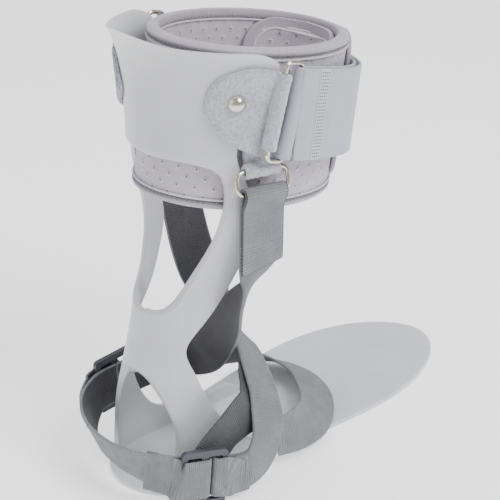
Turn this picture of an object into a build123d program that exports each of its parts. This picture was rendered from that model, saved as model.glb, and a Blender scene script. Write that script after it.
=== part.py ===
from build123d import *
import math
import os

# Ankle foot orthosis, right foot.  Millimetres.  +X toe, +Y medial, +Z up.
# The origin is on the underside of the footplate, below the ankle.

os.makedirs("parts", exist_ok=True)

# ---- driving dimensions -------------------------------------------------
WALL = 3.0            # moulded polypropylene wall
PLATE = 3.0           # footplate thickness
LEG_LEAN = 8.1        # forward lean of the calf section, degrees
STRAP_LEAN = 15.5     # slope of the calf strap, degrees
STRAP_HEIGHT = 50.0   # calf strap webbing
WEB = 27.0            # elastic webbing width
WEB_THICK = 2.0
WIRE = 1.3            # wire radius of every ring
FELT = 3.0
SEAM = 0.3            # clearance between layers that only touch
RIVET_X = -10.0
RIVET_Z = 243.0
RIVET_Y = 44.4
RIVET_NORMAL = (-0.478, 0.878)
RIVET_HOLE = 2.5

# Moulding: height, x of the back, x of the section centre, half width.
SECTIONS = [
    (0, -55, -23, 31.5),
    (25, -55.5, -23, 31.5),
    (55, -52, -20, 30),
    (85, -45, -14, 28),
    (115, -39, -8, 29),
    (145, -36, 4, 39),
    (175, -36.5, 18, 51),
    (205, -37.5, 29, 53.5),
    (235, -39.5, 34, 54.5),
    (262, -44, 37, 57),
    (277, -51, 39, 60),
    (289, -60, 40, 63),
]
OPEN_FRONT = 90.0

# Side-view trim lines, x and z.
TOP_EDGE = [(-80, 288), (-57, 283), (-44, 276), (-27, 272.5), (-12, 270.5), (4, 267.5), (12, 262)]
FRONT_LATERAL = [(12, 262), (12, 250), (4, 236), (-7, 220), (-8, 208), (-4, 196), (-1, 175),
                 (2, 148), (-5, 120), (-20, 102), (-28, 90), (-25, 77), (-18, 60), (-8, 42),
                 (8, 22), (30, 9), (48, 2)]
FRONT_MEDIAL = [(12, 262), (12, 250), (4, 236), (-7, 220), (-8, 208), (-3, 194), (4, 178),
                (8.5, 161), (7, 147), (-4, 126), (-17, 106), (-27, 94), (-29, 80), (-27, 58), (-22, 42), (-16, 31),
                (-6, 21), (14, 14), (36, 11), (48, 13), (59, 9), (67, 2)]
WINDOW_LATERAL = [(-36, 208), (-25, 206.5), (-16, 201), (-13, 190), (-14, 175), (-18, 154),
                  (-24, 135), (-30, 120), (-36, 112), (-41, 110)]
WINDOW_MEDIAL = [(-36, 208), (-25, 206.5), (-16, 201), (-12, 190), (-8, 174), (-6, 153),
                 (-14, 132), (-23, 118), (-33, 111.5), (-41, 110)]
HEEL_LATERAL = [(-52, 76), (-47, 75.5), (-43.5, 68), (-40, 55), (-37, 42), (-37, 28), (-41, 14), (-47, 3)]
HEEL_MEDIAL = [(-52, 76), (-47, 75), (-44.5, 64), (-44, 48), (-43.5, 34), (-44, 20), (-47, 9), (-50, 3)]

PLATE_OUTLINE = [(-57.5, 0), (-54.5, 14), (-46, 26), (-30, 33.5), (0, 37.5), (45, 45), (85, 52), (120, 56.5), (155, 55),
                 (186, 45), (206, 29), (214, 10), (206, -9), (188, -23), (160, -34), (122, -39.5),
                 (80, -38.5), (40, -37), (0, -35.5), (-30, -33), (-46, -26), (-54.5, -14)]

# Shape of the riveted calf tab in side view.
TAB_OUTLINE = [(-24, 246), (-21.5, 255), (-14, 260), (-4, 262), (6, 260), (13.5, 257.5)]
TAB_UNDER = [(0.5, 211.5), (-8, 216), (-15, 221.5), (-21, 230), (-24, 238)]

# Webbing runs: centre point, then the direction across the width.
CROSS_RUN = [((5, -46, 136), (-0.95, -0.15, -0.1)), ((3, -40, 122), (-0.72, -0.62, -0.25)),
             ((6, -26, 103), (-0.28, -0.88, -0.38)), ((12, -9, 82), (0.1, -0.86, -0.48)),
             ((20, 11, 58), (0.28, -0.78, -0.55)), ((27, 27, 44.5), (0.25, -0.55, -0.8)),
             ((25, 38, 39.5), (0.1, -0.15, -0.98)), ((12, 43.5, 39), (0, 0, -1)),
             ((-2, 44.8, 39), (0, 0, -1)),
             ((-13, 45, 38.6), (0, 0, -1)), ((-24, 45, 38), (0, 0, -1))]
HEEL_RUN = [((-25, 45, 37.9), (0, 0, -1)), ((-40, 44.4, 36), (0.08, -0.06, -0.99)),
            ((-53, 37, 31), (0.25, -0.2, -0.94)), ((-63, 20, 28), (0.38, -0.12, -0.91)),
            ((-66, -1, 27), (0.4, 0, -0.91)), ((-63, -19, 26), (0.32, 0.12, -0.94)),
            ((-55, -33.5, 24.5), (0.12, 0.1, -0.98)), ((-46, -43, 23), (0, 0.02, -1)),
            ((-37.6, -47.4, 21.8), (0, 0, -1))]
INSTEP_RUN = [((-36, -48.1, 21.7), (0, 0, -1)), ((-22, -54, 18.6), (0.06, 0, -1)),
              ((-5, -57.5, 19.5), (0.3, 0, -0.95)), ((8, -54.5, 31), (0.58, -0.12, -0.8)),
              ((16, -45, 47), (0.55, -0.36, -0.75)), ((24, -28, 60), (0.58, -0.42, -0.7)),
              ((33, -7, 69), (0.7, -0.1, -0.7)), ((38.5, 12, 73.5), (0.4, 0.25, -0.85)),
              ((41.5, 30, 82), (-0.3, 0.6, -0.55)), ((39.5, 41, 95), (-0.75, 0.5, -0.35)),
              ((36, 46.5, 114), (-0.9, 0.36, -0.2)), ((33, 50, 135), (-0.95, 0.25, -0.12)),
              ((31, 52.4, 147), (-0.98, 0.08, -0.1))]
FOREFOOT_RUN = [((26, -47.5, 21), (0.1, -0.05, -0.99)), ((44, -46.5, 19.5), (0.15, -0.35, -0.92)),
                ((68, -35, 14.5), (0.45, -0.55, -0.7)), ((90, -13, 11.5), (0.74, -0.5, -0.47)),
                ((101, 10, 11), (0.88, 0.02, -0.47)), ((97, 31, 12.5), (0.66, 0.55, -0.52)),
                ((77, 45, 17.5), (0.25, 0.62, -0.74)), ((52, 49, 25), (0.06, 0.25, -0.96)),
                ((26, 48.8, 33), (0, 0, -1))]


def sin_deg(angle):
    """Sine of an angle in degrees."""
    return math.sin(math.radians(angle))


def cos_deg(angle):
    """Cosine of an angle in degrees."""
    return math.cos(math.radians(angle))


def u_section(z, back, centre, half, grow, front):
    """Sketch a rear half ellipse with straight sides running forward."""
    side = half + grow
    with BuildSketch(Plane.XY.offset(z)) as profile:
        with BuildLine():
            EllipticalCenterArc((centre, 0), centre - back + grow, side, start_angle=90, arc_size=180)
            Polyline((centre, -side), (front, -side), (front, side), (centre, side))
        make_face()
    return profile


def trim_face(line, corners):
    """Sketch a region bounded by a smooth line and straight corners."""
    with BuildSketch(Plane.XZ) as region:
        with BuildLine():
            edge = Spline(*line)
            Polyline(edge @ 1, *corners, edge @ 0)
        make_face()
    return region


def smooth_run(run):
    """Stations of a webbing run with one more between each pair, on a smooth line."""
    rows = [(Vector(*point), Vector(*width)) for point, width in run]
    last = len(rows) - 1
    stations = []
    for i in range(last):
        around = [rows[max(i - 1, 0)], rows[i], rows[i + 1], rows[min(i + 2, last)]]
        stations.append((tuple(rows[i][0]), tuple(rows[i][1])))
        middle = []
        for j in (0, 1):
            a, b, c, d = (row[j] for row in around)
            middle.append(tuple((b + c) * 0.5625 - (a + d) * 0.0625))
        stations.append(tuple(middle))
    return stations + [run[-1]]


def web_planes(run):
    """Planes across a webbing run, X along the webbing width."""
    planes = []
    for i, (point, width) in enumerate(run):
        before = Vector(*run[max(i - 1, 0)][0])
        after = Vector(*run[min(i + 1, len(run) - 1)][0])
        along = (after - before).normalized()
        across = Vector(*width)
        across = across - along * across.dot(along)
        planes.append(Plane(origin=point, x_dir=across, z_dir=along))
    return planes


def ring_path(plane, long, short, corner):
    """Closed centre line of a wire ring."""
    with BuildSketch(plane) as outline:
        RectangleRounded(long, short, corner)
    return outline.sketch.wires()[0]


def rivet_seat(side):
    """Plane on the outside of the wall where a rivet passes, Z outward."""
    return Plane(
        origin=(RIVET_X, side * RIVET_Y, RIVET_Z),
        x_dir=(0, 0, 1),
        z_dir=(RIVET_NORMAL[0], side * RIVET_NORMAL[1], 0))


def save(part, name):
    """Label one piece and write its file."""
    part.part.label = name
    export_step(part.part, "parts/" + name + ".step")


# ---- one-piece moulding -------------------------------------------------
with BuildPart() as orthosis_shell:
    for z, back, centre, half in SECTIONS:
        add(u_section(z, back, centre, half, 0, OPEN_FRONT).sketch)
    loft()
    for z, back, centre, half in SECTIONS:
        add(u_section(z, back, centre, half, -WALL, OPEN_FRONT + 10).sketch)
    loft(mode=Mode.SUBTRACT)
    for side, line in ((1, FRONT_LATERAL), (-1, FRONT_MEDIAL)):
        region = trim_face(line, [(130, 2), (130, 262)])
        extrude(region.sketch, amount=100, dir=(0, -side, 0), mode=Mode.SUBTRACT)
    region = trim_face(TOP_EDGE, [(130, 262), (130, 320), (-80, 320)])
    extrude(region.sketch, amount=100, dir=(0, 1, 0), both=True, mode=Mode.SUBTRACT)
    for side, line in ((1, WINDOW_LATERAL), (-1, WINDOW_MEDIAL)):
        region = trim_face(line, [(-80, 110), (-80, 208)])
        extrude(region.sketch, amount=100, dir=(0, -side, 0), mode=Mode.SUBTRACT)
    for side, line in ((1, HEEL_LATERAL), (-1, HEEL_MEDIAL)):
        region = trim_face(line, [(-80, 3), (-80, 77)])
        extrude(region.sketch, amount=100, dir=(0, -side, 0), mode=Mode.SUBTRACT)
    with BuildSketch(Plane.XY):
        with BuildLine():
            Spline(*PLATE_OUTLINE, periodic=True)
        make_face()
    extrude(amount=PLATE)
    with Locations(rivet_seat(-1), rivet_seat(1)):
        Cylinder(RIVET_HOLE, 20, mode=Mode.SUBTRACT)
save(orthosis_shell, "orthosis_shell")

# ---- padded calf liner --------------------------------------------------
LEG = Plane(
    origin=(35.5, 0, 225),
    x_dir=Vector(1, 0, 0).rotate(Axis.Y, LEG_LEAN),
    z_dir=Vector(0, 0, 1).rotate(Axis.Y, LEG_LEAN))
# Middle of the calf strap about the leg axis, from the front round one side to the back.
STRAP_LINE = [(70, 0), (65.5, 16.5), (54, 33.2), (38, 44.6), (20, 51), (0, 54.2), (-17, 54.6),
              (-40, 50), (-60, 33), (-68, 0)]
LINER_LOW = -54.5
LINER_HIGH = 39.0
BINDING = 7.0


def leg_ring(low, high, outer, inner):
    """Elliptical tube about the leg axis between two heights along it."""
    with BuildPart() as tube:
        with BuildSketch(LEG.offset(low)):
            Ellipse(*outer)
            Ellipse(*inner, mode=Mode.SUBTRACT)
        extrude(amount=high - low)
    return tube.part


with BuildPart() as calf_liner:
    add(leg_ring(LINER_LOW + BINDING, LINER_HIGH - BINDING, (63.5, 47.5), (58, 42)))
save(calf_liner, "calf_liner")

with BuildPart() as liner_binding_top:
    add(leg_ring(LINER_HIGH - BINDING, LINER_HIGH, (64, 48), (57.5, 41.5)))
save(liner_binding_top, "liner_binding_top")

with BuildPart() as liner_binding_bottom:
    add(leg_ring(LINER_LOW, LINER_LOW + BINDING, (64, 48), (57.5, 41.5)))
save(liner_binding_bottom, "liner_binding_bottom")

# The lateral end of the wrap tucks inside; the medial end closes over it.
with BuildPart() as liner_inner_flap:
    add(leg_ring(-46, 34, (57.2, 41.2), (54, 38)))
    with BuildSketch(Plane.YZ):
        with Locations((2, 213)):
            RectangleRounded(72, 88, 24)
    extrude(amount=140, mode=Mode.INTERSECT)
    with Locations((70 - 100, 0, 225)):
        Box(200, 200, 200, mode=Mode.SUBTRACT)
save(liner_inner_flap, "liner_inner_flap")

with BuildPart() as liner_outer_flap:
    add(leg_ring(-52, 36, (67.4, 51.4), (64.3, 48.3)))
    with BuildSketch(Plane.YZ):
        with Locations((12, 208)):
            RectangleRounded(78, 86, 16)
    extrude(amount=140, mode=Mode.INTERSECT)
    with Locations((58 - 100, 0, 225)):
        Box(200, 200, 200, mode=Mode.SUBTRACT)
save(liner_outer_flap, "liner_outer_flap")

# ---- calf strap, rings and riveted tabs ---------------------------------
STRAP_AXIS = Vector(0, 0, 1).rotate(Axis.Y, STRAP_LEAN)
STRAP_ALONG = Vector(1, 0, 0).rotate(Axis.Y, STRAP_LEAN)
CALF_RING = Vector(13.3, 57.6, 235.2)
CALF_RING_LONG = 54.5
CALF_RING_SHORT = 12.0
LOOP = 2.3            # inside radius of a webbing fold round a ring bar
SIDES = ((-1, "lateral"), (1, "medial"))


def strap_ring(outer, inner):
    """Tube along the leg between two clearances from the middle of the strap.

    A clearance is given at the ring, behind STRAP_LINE's side point, and at the front.
    """
    with BuildPart() as tube:
        with BuildSketch(LEG.offset(-60)):
            for clearance, mode in ((outer, Mode.ADD), (inner, Mode.SUBTRACT)):
                edge = []
                for i, (x, y) in enumerate(STRAP_LINE):
                    before = STRAP_LINE[max(i - 1, 0)]
                    after = STRAP_LINE[min(i + 1, len(STRAP_LINE) - 1)]
                    normal = Vector(before[1] - after[1], after[0] - before[0]).normalized() * -1
                    share = min(max((x + 16) / 41, 0), 1)
                    away = clearance[0] + (clearance[1] - clearance[0]) * share
                    edge.append((x + normal.X * away, y + normal.Y * away))
                edge[0] = (edge[0][0], 0)
                edge[-1] = (edge[-1][0], 0)
                with BuildLine():
                    Spline(*edge, *[(x, -y) for x, y in edge[-2:0:-1]], periodic=True)
                make_face(mode=mode)
        extrude(amount=120)
    return tube.part


def strap_slab(height):
    """Slab that trims a leg ring to the sloping strap."""
    with BuildPart() as slab:
        with BuildSketch(Plane.XZ):
            with Locations((37, 228.6)):
                Rectangle(300, height, rotation=-STRAP_LEAN)
        extrude(amount=150, both=True)
    return slab.part


def behind(point, along):
    """Large block behind a plane, for cutting a band to length."""
    with BuildPart(Plane(origin=point, x_dir=(0, 1, 0), z_dir=-along)) as block:
        Box(400, 400, 400, align=(Align.CENTER, Align.CENTER, Align.MIN))
    return block.part


def bar_point(side, offset):
    """Point on a straight bar of the calf ring."""
    return Vector(CALF_RING.X, side * CALF_RING.Y, CALF_RING.Z) + STRAP_ALONG * offset


for side, name in SIDES:
    plane = Plane(origin=bar_point(side, 0), x_dir=STRAP_AXIS, z_dir=(0, -1, 0))
    path = ring_path(plane, CALF_RING_LONG, CALF_RING_SHORT, 3.5)
    with BuildPart() as calf_ring:
        with BuildSketch(Plane(origin=path @ 0, z_dir=path % 0)):
            Circle(WIRE)
        sweep(path=path)
    save(calf_ring, name + "_calf_ring")

FRONT_BAR = CALF_RING_SHORT / 2
with BuildPart() as calf_strap:
    add(strap_ring((1, 1), (-1, -1)))
    add(strap_slab(STRAP_HEIGHT), mode=Mode.INTERSECT)
    add(behind(bar_point(-1, FRONT_BAR), STRAP_ALONG), mode=Mode.SUBTRACT)
    for side, name in SIDES:
        fold = Plane(origin=bar_point(side, FRONT_BAR), x_dir=STRAP_ALONG, z_dir=STRAP_AXIS)
        with BuildSketch(fold):
            Circle(LOOP + WEB_THICK)
            Circle(LOOP, mode=Mode.SUBTRACT)
            with Locations((50, 0)):
                Rectangle(100, 100, mode=Mode.SUBTRACT)
            if side == 1:
                with Locations((9, LOOP + WEB_THICK / 2)):
                    Rectangle(18, WEB_THICK)
            with Locations((1, -side * (LOOP + WEB_THICK / 2))):
                Rectangle(2, WEB_THICK)
        extrude(amount=STRAP_HEIGHT / 2, both=True)
save(calf_strap, "calf_strap")

TONGUE_START = bar_point(-1, FRONT_BAR + SEAM)
TONGUE_END = bar_point(-1, FRONT_BAR + 92)


def tongue_layer(outer, inner, start, height):
    """Band outside the calf strap on the lateral side, cut to length."""
    with BuildPart() as layer:
        add(strap_ring(outer, inner))
        add(strap_slab(height), mode=Mode.INTERSECT)
        add(behind(start, STRAP_ALONG), mode=Mode.SUBTRACT)
        with Locations((0, 100, 225)):
            Box(400, 200, 400, mode=Mode.SUBTRACT)
        with BuildPart(Plane(origin=TONGUE_END, x_dir=(0, 1, 0), z_dir=STRAP_ALONG), mode=Mode.SUBTRACT):
            Box(400, 400, 400, align=(Align.CENTER, Align.CENTER, Align.MIN))
    return layer.part


with BuildPart() as strap_tongue:
    add(tongue_layer((7.6, 4.4), (5.6, 2.4), TONGUE_START, STRAP_HEIGHT))
save(strap_tongue, "strap_tongue")

with BuildPart() as hook_patch:
    add(tongue_layer((5.3, 2.1), (1.3, 1.3), bar_point(-1, FRONT_BAR + 10), STRAP_HEIGHT - 4))
save(hook_patch, "hook_patch")


def shell_layer(inner, outer):
    """Skin that follows the outside of the moulding between two offsets."""
    with BuildPart() as skin:
        for z, back, centre, half in SECTIONS:
            add(u_section(z, back, centre, half, outer, OPEN_FRONT).sketch)
        loft()
        for z, back, centre, half in SECTIONS:
            add(u_section(z, back, centre, half, inner, OPEN_FRONT + 10).sketch)
        loft(mode=Mode.SUBTRACT)
    return skin.part


TAB_SKIN = shell_layer(SEAM, SEAM + FELT)
ANKLE_SKIN = {"lateral": shell_layer(SEAM - WALL, -SEAM), "medial": shell_layer(-4.4, -1.8)}
ANKLE_TAB_AT = {"lateral": (5.5, 212), "medial": (29, 206.5)}
REAR_BAR = -CALF_RING_SHORT / 2
TAB_LOOP = 1.7        # inside radius of a felt fold round a ring bar
TAB_STRETCH = {"lateral": 1.0, "medial": 1.5}   # the medial tab runs further back

for side, name in SIDES:
    edge = [(x * TAB_STRETCH[name] if x < 0 else x, z) for x, z in TAB_OUTLINE[::-1] + TAB_UNDER[::-1]]
    with BuildSketch(Plane.XZ) as tab_shape:
        with BuildLine():
            rim = Spline(*edge)
            Polyline(rim @ 1, (2.8, 211), (15.5, 257.5), rim @ 0)
        make_face()
    with BuildPart() as calf_tab:
        add(TAB_SKIN)
        extrude(tab_shape.sketch, amount=100, dir=(0, side, 0), mode=Mode.INTERSECT)
        bar = bar_point(side, REAR_BAR)
        with BuildSketch(Plane(origin=bar, x_dir=STRAP_ALONG, z_dir=STRAP_AXIS)):
            Circle(TAB_LOOP + 2.4)
        extrude(amount=21, both=True)
        with BuildSketch(Plane(origin=bar, x_dir=STRAP_ALONG, z_dir=STRAP_AXIS)):
            Circle(TAB_LOOP)
        extrude(amount=60, both=True, mode=Mode.SUBTRACT)
        with Locations(rivet_seat(side)):
            Cylinder(RIVET_HOLE, 20, mode=Mode.SUBTRACT)
        add(orthosis_shell.part, mode=Mode.SUBTRACT)
    save(calf_tab, name + "_calf_tab")

# ---- rivets: flange inside the wall, shank, domed head on the felt ------
HEAD = FELT + 2 * SEAM
for side, name in SIDES:
    seat = rivet_seat(side)
    with BuildPart() as rivet:
        with Locations(seat.offset(HEAD - 2.0)):
            Sphere(5.4)
        with Locations(seat.offset(HEAD)):
            Cylinder(8, 14, align=(Align.CENTER, Align.CENTER, Align.MAX), mode=Mode.SUBTRACT)
        with Locations(seat.offset(-4.8)):
            Cylinder(5.0, 1.2, align=(Align.CENTER, Align.CENTER, Align.MIN))
        with Locations(seat.offset(-4.0)):
            Cylinder(2.2, HEAD + 4.4, align=(Align.CENTER, Align.CENTER, Align.MIN))
    save(rivet, name + "_rivet")

# ---- ankle rings, their felt tabs and the elastic webbing ---------------
ANKLE_RING_LONG = 31.5
ANKLE_RING_SHORT = 12.6
RING_TILT = 18.0      # the lower bar stands off the leg
# Bar direction, level outward direction and hanging direction of the webbing.
HANG = {
    "lateral": (Vector(0.970, -0.242, 0), Vector(-0.242, -0.970, 0), Vector(0, 0, -1)),
    "medial": (Vector(-0.995, 0, -0.1), Vector(0, 1, 0), Vector(0.1, 0, -0.995)),
}
RING_CENTRE = {"lateral": Vector(2.5, -53, 197.2), "medial": Vector(27, 55.5, 191.2)}
DOUBLED = {"lateral": 42.0, "medial": 31.0}   # sewn double end of the webbing


def ankle_plane(name):
    """Plane of an ankle ring, X along its bars and Y toward the leg tab."""
    bar, outward, hang = HANG[name]
    tilt = RING_TILT
    rise = hang * -cos_deg(tilt) - outward * sin_deg(tilt)
    return Plane(origin=RING_CENTRE[name], x_dir=bar, z_dir=bar.cross(rise))


def hanging_fold(name, outer_leg, inner_leg):
    """Webbing turned over the lower bar of an ankle ring."""
    bar, outward, hang = HANG[name]
    lower = ankle_plane(name).from_local_coords((0, -ANKLE_RING_SHORT / 2, 0))
    mid = LOOP + WEB_THICK / 2
    with BuildPart() as fold:
        with BuildSketch(Plane(origin=lower, x_dir=outward, z_dir=bar)):
            Circle(LOOP + WEB_THICK)
            Circle(LOOP, mode=Mode.SUBTRACT)
            with Locations((0, 50)):
                Rectangle(100, 100, mode=Mode.SUBTRACT)
            with Locations((mid, outer_leg / 2)):
                Rectangle(WEB_THICK, outer_leg)
            with Locations((-mid, inner_leg / 2)):
                Rectangle(WEB_THICK, inner_leg)
        extrude(amount=WEB / 2, both=True)
    return fold.part


def fold_end(name, inner_leg):
    """Middle of the inner leg of the fold at a distance below the bar."""
    bar, outward, hang = HANG[name]
    lower = ankle_plane(name).from_local_coords((0, -ANKLE_RING_SHORT / 2, 0))
    return lower + hang * inner_leg - outward * (LOOP + WEB_THICK / 2)


def web_band(run):
    """Flat webbing lofted along a run."""
    with BuildPart() as band:
        for plane in web_planes(smooth_run(run)):
            with BuildSketch(plane):
                Rectangle(WEB, WEB_THICK)
        loft()
    return band.part


for side, name in SIDES:
    plane = ankle_plane(name)
    path = ring_path(plane, ANKLE_RING_LONG, ANKLE_RING_SHORT, 4.5)
    with BuildPart() as ankle_ring:
        with BuildSketch(Plane(origin=path @ 0, z_dir=path % 0)):
            Circle(WIRE)
        sweep(path=path)
    save(ankle_ring, name + "_ankle_ring")

    bar, outward, hang = HANG[name]
    upper = plane.from_local_coords((0, ANKLE_RING_SHORT / 2, 0))
    with BuildPart() as ankle_tab:
        add(ANKLE_SKIN[name])
        with BuildSketch(Plane.XZ):
            with Locations(ANKLE_TAB_AT[name]):
                Rectangle(19, 18)
        extrude(amount=100 * (1 if side == -1 else -1), mode=Mode.INTERSECT)
        with BuildSketch(Plane(origin=upper, z_dir=bar)):
            Circle(TAB_LOOP + 2.4)
        extrude(amount=10.5, both=True)
        with BuildSketch(Plane(origin=upper, z_dir=bar)):
            Circle(TAB_LOOP)
        extrude(amount=40, both=True, mode=Mode.SUBTRACT)
        add(orthosis_shell.part, mode=Mode.SUBTRACT)
    save(ankle_tab, name + "_ankle_tab")

# Lateral ring to the medial side of the heel, crossing the ankle in front.
START = fold_end("lateral", DOUBLED["lateral"])
with BuildPart() as cross_strap:
    add(hanging_fold("lateral", DOUBLED["lateral"], DOUBLED["lateral"] + 0.5))
    add(web_band([(tuple(START), (-0.970, 0.242, 0))] + CROSS_RUN))
save(cross_strap, "cross_strap")

with BuildPart() as heel_strap:
    add(web_band(HEEL_RUN))
save(heel_strap, "heel_strap")

# Lateral side of the heel over the instep to the medial ring.
FINISH = fold_end("medial", DOUBLED["medial"])
with BuildPart() as instep_strap:
    add(hanging_fold("medial", DOUBLED["medial"], DOUBLED["medial"] + 0.5))
    add(web_band(INSTEP_RUN + [(tuple(FINISH), (-0.995, 0, -0.1))]))
save(instep_strap, "instep_strap")

with BuildPart() as forefoot_strap:
    add(web_band(FOREFOOT_RUN))
save(forefoot_strap, "forefoot_strap")

# ---- tri-glide sliders over the joins of the heel webbing ---------------
SLIDER_LONG = 28.0
SLIDER_TALL = 37.0
SLIDER_THICK = 3.0
STAND_OFF = WEB_THICK / 2 + 0.8
SLIDER_SEATS = {
    "lateral": Plane(origin=(-37, -47.7, 21.8), x_dir=(0.93, -0.37, -0.06), z_dir=(-0.37, -0.93, 0)),
    "medial": Plane(origin=(-24.3, 45, 38), x_dir=(0.99, 0.02, 0.08), z_dir=(-0.02, 1, 0)),
}
for name, seat in SLIDER_SEATS.items():
    with BuildPart() as slider:
        with BuildSketch(seat.offset(STAND_OFF)):
            RectangleRounded(SLIDER_LONG, SLIDER_TALL, 3)
            with Locations((-6.3, 0), (6.3, 0)):
                RectangleRounded(8.6, SLIDER_TALL - 8, 1, mode=Mode.SUBTRACT)
        extrude(amount=SLIDER_THICK)
    save(slider, name + "_slider")
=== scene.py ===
import math
import random

import bpy
from mathutils import Matrix, Vector, noise


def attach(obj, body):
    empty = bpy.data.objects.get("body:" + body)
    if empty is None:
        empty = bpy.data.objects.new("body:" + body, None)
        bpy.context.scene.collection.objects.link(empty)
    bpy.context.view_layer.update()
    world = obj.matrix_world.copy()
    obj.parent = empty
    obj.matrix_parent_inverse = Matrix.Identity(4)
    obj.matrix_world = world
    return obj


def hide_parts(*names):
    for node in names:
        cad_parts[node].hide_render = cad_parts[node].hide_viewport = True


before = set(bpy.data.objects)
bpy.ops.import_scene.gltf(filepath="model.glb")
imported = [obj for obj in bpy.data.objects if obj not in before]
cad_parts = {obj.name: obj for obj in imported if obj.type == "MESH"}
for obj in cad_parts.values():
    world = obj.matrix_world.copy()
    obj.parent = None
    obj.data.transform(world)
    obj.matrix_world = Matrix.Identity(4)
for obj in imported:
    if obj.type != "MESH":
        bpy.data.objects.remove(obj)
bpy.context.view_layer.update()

# Lengths below are in millimetres and are scaled once, when a mesh is made.
MM = 0.001
BRACE = "brace"
random.seed(7)


# ---- materials ----------------------------------------------------------
def tone(red, green, blue):
    """Linear colour from screen values of 0 to 255."""
    def linear(value):
        value /= 255
        return value / 12.92 if value <= 0.04045 else ((value + 0.055) / 1.055) ** 2.4
    return (linear(red), linear(green), linear(blue), 1.0)


class Look:
    """A procedural material built around one Principled shader."""

    def __init__(self, name, colour, roughness, **inputs):
        self.material = bpy.data.materials.new(name)
        self.material.use_nodes = True
        self.tree = self.material.node_tree
        self.shader = self.tree.nodes["Principled BSDF"]
        self.place = self.tree.nodes.new("ShaderNodeTexCoord")
        self.colour = colour
        self.last_normal = None
        self.put("Base Color", colour)
        self.put("Roughness", roughness)
        for key, value in inputs.items():
            self.put(key.replace("_", " "), value)

    def put(self, key, value, node=None):
        """Set or link one input of a node."""
        node = node or self.shader
        if isinstance(value, bpy.types.NodeSocket):
            self.tree.links.new(value, node.inputs[key])
        else:
            node.inputs[key].default_value = value

    def node(self, kind, values, **settings):
        """Add a node with its settings and inputs."""
        made = self.tree.nodes.new("ShaderNode" + kind)
        for key, value in settings.items():
            setattr(made, key, value)
        for key, value in values.items():
            self.put(key, value, made)
        return made

    def math(self, operation, a, b=0.0):
        return self.node("Math", {0: a, 1: b}, operation=operation).outputs[0]

    def noise(self, scale, detail=3.0):
        """Noise in the piece's own space, scale in cycles per metre."""
        values = {"Vector": self.place.outputs["Object"], "Scale": scale, "Detail": detail}
        return self.node("TexNoise", values).outputs[0]

    def ramp(self, value, low, high, start=0.0, end=1.0):
        """Smooth step of a value between two limits."""
        values = {"Value": value, "From Min": low, "From Max": high, "To Min": start, "To Max": end}
        return self.node("MapRange", values, interpolation_type="SMOOTHSTEP").outputs[0]

    def blend(self, factor, a, b):
        """Mix two colours."""
        return self.node("Mix", {0: factor, 6: a, 7: b}, data_type="RGBA").outputs[2]

    def flat_uv(self):
        """The two flat directions of a sheet, in metres."""
        split = self.node("SeparateXYZ", {0: self.place.outputs["UV"]})
        return split.outputs[0], split.outputs[1]

    def bump(self, height, distance):
        """Add relief of a given depth in metres."""
        values = {"Height": height, "Distance": distance, "Strength": 1.0}
        if self.last_normal:
            values["Normal"] = self.last_normal
        self.last_normal = self.node("Bump", values).outputs[0]
        self.put("Normal", self.last_normal)

    def soften_edges(self, radius):
        """Round the shading of sharp edges."""
        self.last_normal = self.node("Bevel", {"Radius": radius}, samples=6).outputs[0]
        self.put("Normal", self.last_normal)

    def mottle(self, scale, shade, amount=1.0):
        """Vary the base colour toward a second one."""
        patch = self.ramp(self.noise(scale, 4.0), 0.35, 0.65, 0.0, amount)
        self.colour = self.blend(patch, self.colour, shade)
        self.put("Base Color", self.colour)

    def knit(self, pitch, depth):
        """Fine knit relief along both flat directions."""
        u, v = self.flat_uv()
        across = self.math("SINE", self.math("MULTIPLY", u, 2 * math.pi / pitch))
        along = self.math("SINE", self.math("MULTIPLY", v, 2 * math.pi / pitch))
        self.bump(self.math("MULTIPLY", across, along), depth)


def moulding_look():
    look = Look("translucent_polypropylene", tone(208, 209, 213), 0.3,
                Subsurface_Weight=0.45, Subsurface_Scale=0.012, Subsurface_Radius=(1, 1, 1),
                Transmission_Weight=0.12, IOR=1.49)
    look.soften_edges(0.0009)
    look.mottle(30, tone(199, 200, 204), 0.6)
    look.bump(look.noise(60, 2.0), 0.00025)
    look.bump(look.noise(1500, 3.0), 0.00002)
    return look.material


def perforated_look():
    look = Look("perforated_foam_knit", tone(186, 181, 191), 0.85, Sheen_Weight=0.3, Sheen_Roughness=0.5)
    look.mottle(45, tone(176, 170, 180), 0.8)
    look.mottle(900, tone(196, 192, 200), 0.35)
    u, v = look.flat_uv()
    pitch = 0.00735 * math.sqrt(2)
    cell_x = look.math("FRACT", look.math("DIVIDE", look.math("ADD", u, v), pitch))
    cell_y = look.math("FRACT", look.math("DIVIDE", look.math("SUBTRACT", u, v), pitch))
    off_x = look.math("POWER", look.math("SUBTRACT", cell_x, 0.5), 2.0)
    off_y = look.math("POWER", look.math("SUBTRACT", cell_y, 0.5), 2.0)
    away = look.math("SQRT", look.math("ADD", off_x, off_y))
    # A lighter ring round each hole, and the hole itself painted dark: painted shade inside the
    # perforation.
    halo = look.ramp(away, 0.16, 0.3, 1.0, 0.0)
    hole = look.ramp(away, 0.06, 0.1, 1.0, 0.0)
    haloed = look.blend(look.math("MULTIPLY", halo, 0.3), look.colour, tone(218, 215, 222))
    look.put("Base Color", look.blend(hole, haloed, tone(104, 99, 108)))
    look.bump(look.ramp(away, 0.03, 0.3), 0.0007)
    look.knit(0.0009, 0.00006)
    return look.material


def binding_look():
    look = Look("smooth_knit_binding", tone(166, 161, 171), 0.8, Sheen_Weight=0.3, Sheen_Roughness=0.45)
    look.mottle(70, tone(155, 150, 160), 0.8)
    look.mottle(1100, tone(184, 179, 189), 0.4)
    look.bump(look.noise(260, 3.0), 0.0003)
    look.knit(0.0008, 0.00006)
    return look.material


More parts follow.
